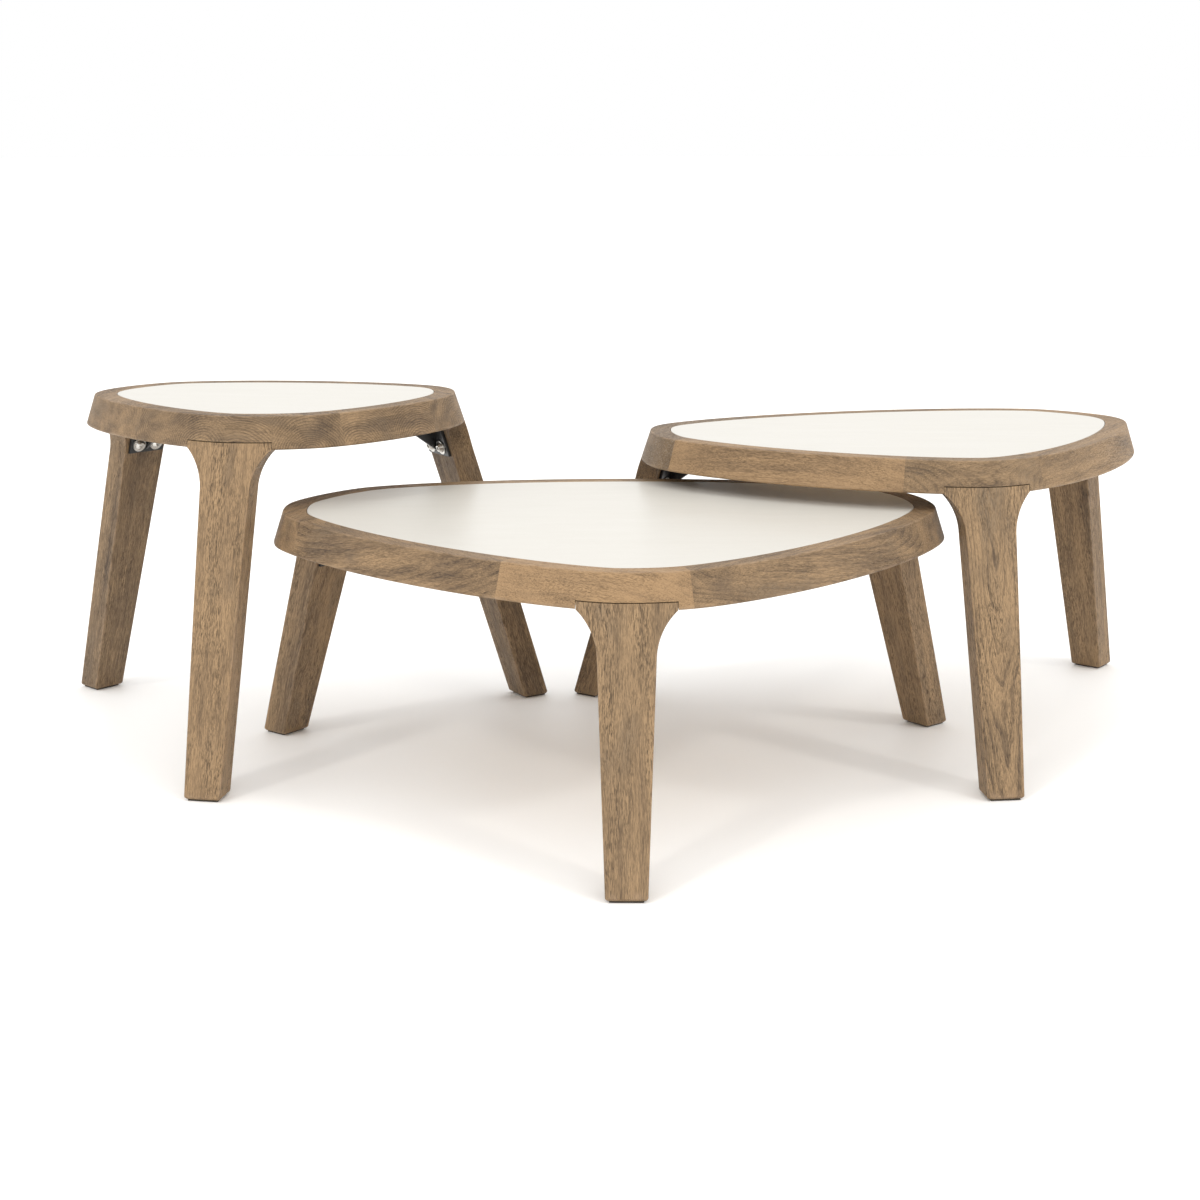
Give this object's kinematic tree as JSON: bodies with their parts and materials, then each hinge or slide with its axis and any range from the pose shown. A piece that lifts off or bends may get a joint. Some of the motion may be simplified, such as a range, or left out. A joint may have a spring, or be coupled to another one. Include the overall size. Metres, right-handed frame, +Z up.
{
  "type": "nesting tables",
  "caption": "Nesting tables: a low broad table and two taller ones with rounded-triangle pale tops in sloped wooden frames on splayed legs.",
  "frame": {"origin": "centre of the set's footprint box, on the floor", "axes": "+Z up; +X along the set's longest extent, from the small tall table to the medium one; the low large table stands in front, towards -Y"},
  "size_m": [1.5274, 1.0203, 0.45],
  "materials": {
    "frame_wood": "open-pored brown hardwood, matt oil",
    "leg_wood": "open-pored brown hardwood, matt oil",
    "pale_stone": "smooth mineral slab, satin, faintly streaked",
    "plywood": "birch plywood, raw",
    "beech": "raw beech",
    "black_steel": "black powder coat, satin",
    "bright_steel": "bright zinc-plated steel",
    "zinc_steel": "zinc-plated steel",
    "dark_glide": "dense dark glide"
  },
  "bodies": {
    "large_table": {"large_base_board": "plywood", "large_bolt_washers": "bright_steel", "large_bracket_front": "black_steel", "large_bracket_left": "black_steel", "large_bracket_right": "black_steel", "large_bracket_screws": "zinc_steel", "large_glides": "dark_glide", "large_inlay": "pale_stone", "large_leg_bolts": "bright_steel", "large_leg_front": "leg_wood", "large_leg_inserts": "zinc_steel", "large_leg_left": "leg_wood", "large_leg_right": "leg_wood", "large_ring_back_rail": "frame_wood", "large_ring_front_corner": "frame_wood", "large_ring_front_left_rail": "frame_wood", "large_ring_front_right_rail": "frame_wood", "large_ring_left_corner": "frame_wood", "large_ring_right_corner": "frame_wood", "large_ring_tenons": "beech"},
    "medium_table": {"medium_base_board": "plywood", "medium_bolt_washers": "bright_steel", "medium_bracket_front": "black_steel", "medium_bracket_left": "black_steel", "medium_bracket_right": "black_steel", "medium_bracket_screws": "zinc_steel", "medium_glides": "dark_glide", "medium_inlay": "pale_stone", "medium_leg_bolts": "bright_steel", "medium_leg_front": "leg_wood", "medium_leg_inserts": "zinc_steel", "medium_leg_left": "leg_wood", "medium_leg_right": "leg_wood", "medium_ring_back_rail": "frame_wood", "medium_ring_front_corner": "frame_wood", "medium_ring_front_left_rail": "frame_wood", "medium_ring_left_corner": "frame_wood", "medium_ring_right_corner": "frame_wood", "medium_ring_right_rail": "frame_wood", "medium_ring_tenons": "beech"},
    "small_table": {"small_base_board": "plywood", "small_bolt_washers": "bright_steel", "small_bracket_front": "black_steel", "small_bracket_left": "black_steel", "small_bracket_right": "black_steel", "small_bracket_screws": "zinc_steel", "small_glides": "dark_glide", "small_inlay": "pale_stone", "small_leg_bolts": "bright_steel", "small_leg_front": "leg_wood", "small_leg_inserts": "zinc_steel", "small_leg_left": "leg_wood", "small_leg_right": "leg_wood", "small_ring_back_rail": "frame_wood", "small_ring_front_corner": "frame_wood", "small_ring_left_corner": "frame_wood", "small_ring_right_corner": "frame_wood", "small_ring_right_rail": "frame_wood", "small_ring_tenons": "beech"}
  },
  "joints": [
    {"name": "medium_table_slide", "type": "slide", "parent": "large_table", "child": "medium_table", "axis": [0.6691, 0.7431, 0], "range_m": [-0.02, 0.45]},
    {"name": "small_table_slide", "type": "slide", "parent": "large_table", "child": "small_table", "axis": [-0.6428, 0.766, 0], "range_m": [-0.02, 0.4]}
  ]
}
